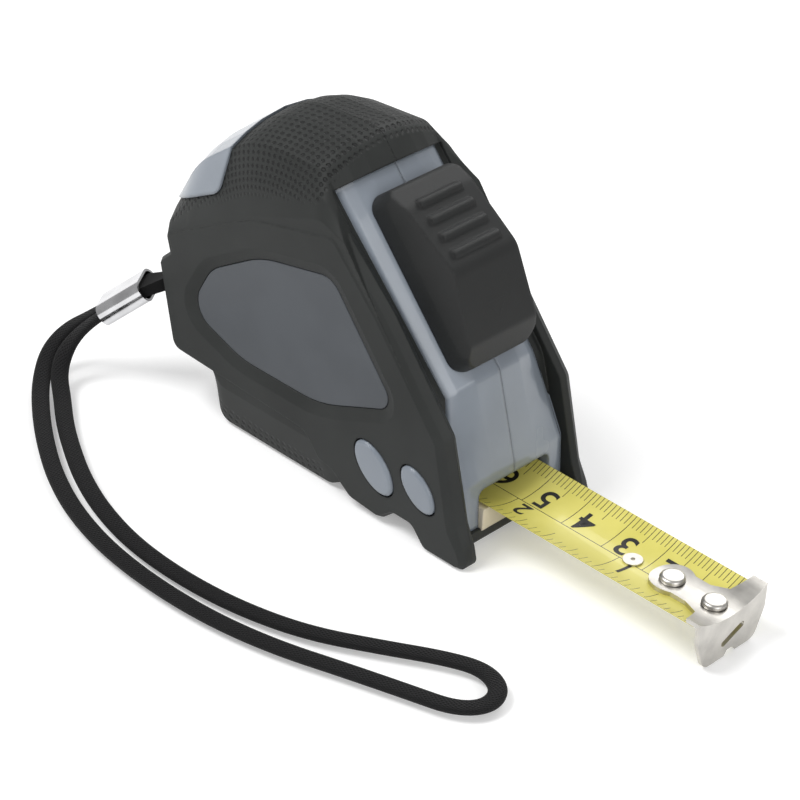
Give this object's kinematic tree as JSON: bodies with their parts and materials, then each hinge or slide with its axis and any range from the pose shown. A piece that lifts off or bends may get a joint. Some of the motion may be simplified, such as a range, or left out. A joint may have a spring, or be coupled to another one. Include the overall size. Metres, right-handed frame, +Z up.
{
  "type": "tape measure",
  "caption": "Pocket tape measure: a rubber-clad case with a spring-return steel blade, end hook, thumb lock, belt clip and wrist strap.",
  "frame": {"origin": "on the plane that the case stands on, in the middle of the case's width, 38 mm behind the mouth", "axes": "+X the way the blade is pulled out, +Y towards the belt clip's side, +Z up"},
  "size_m": [0.1551, 0.0908, 0.0704],
  "materials": {
    "shell": "semi-gloss blue-grey moulded plastic",
    "jacket": "matt charcoal moulded rubber with a dimpled grip",
    "label": "satin slate plate",
    "bumper": "cream nylon",
    "post": "natural nylon",
    "spring_steel": "blued spring steel",
    "reel": "white moulded plastic",
    "blade": "yellow lacquered steel with black graduations",
    "plated": "nickel-plated steel",
    "chrome": "bright chrome",
    "screws": "zinc-plated steel",
    "slider_core": "black moulded plastic",
    "slider_grip": "matt black moulded rubber",
    "cord": "black flat braid"
  },
  "bodies": {
    "case": {"right_shell": "shell", "left_shell": "shell", "right_jacket": "jacket", "left_jacket": "jacket", "right_label": "label", "mouth_bumper": "bumper", "centre_post": "post", "reel_washers": "bumper", "power_spring": "spring_steel", "belt_clip": "plated", "clip_screw": "screws", "case_screws": "screws", "strap_pin": "screws", "strap_ferrule": "chrome", "strap_tether": "cord", "wrist_strap": "cord"},
    "reel": {"reel_drum": "reel", "reel_lid": "reel", "blade_coil": "blade"},
    "blade": {"blade": "blade", "hook_rivets": "plated", "blade_eyelet": "plated"},
    "hook": {"hook": "plated"},
    "lock": {"lock_slider": "slider_core", "lock_grip": "slider_grip", "brake_arm": "slider_core"}
  },
  "joints": [
    {"name": "reel_spin", "type": "hinge", "parent": "case", "child": "reel", "pos_m": [-0.011, 0, 0.0355], "axis": [0, -1, 0], "range_deg": [-116.2, 13.75]},
    {"name": "blade_slide", "type": "slide", "parent": "case", "child": "blade", "axis": [1, 0, 0], "range_m": [-0.0507, 0.006]},
    {"name": "hook_play", "type": "slide", "parent": "blade", "child": "hook", "axis": [1, 0, 0], "range_m": [-0.0009, 0]},
    {"name": "lock_slide", "type": "slide", "parent": "case", "child": "lock", "axis": [-0.6764, 0, 0.7365], "range_m": [0, 0.0037]}
  ],
  "couplings": [
    {"joint": "blade_slide", "follows": "reel_spin", "m_per_rad": 0.025}
  ]
}
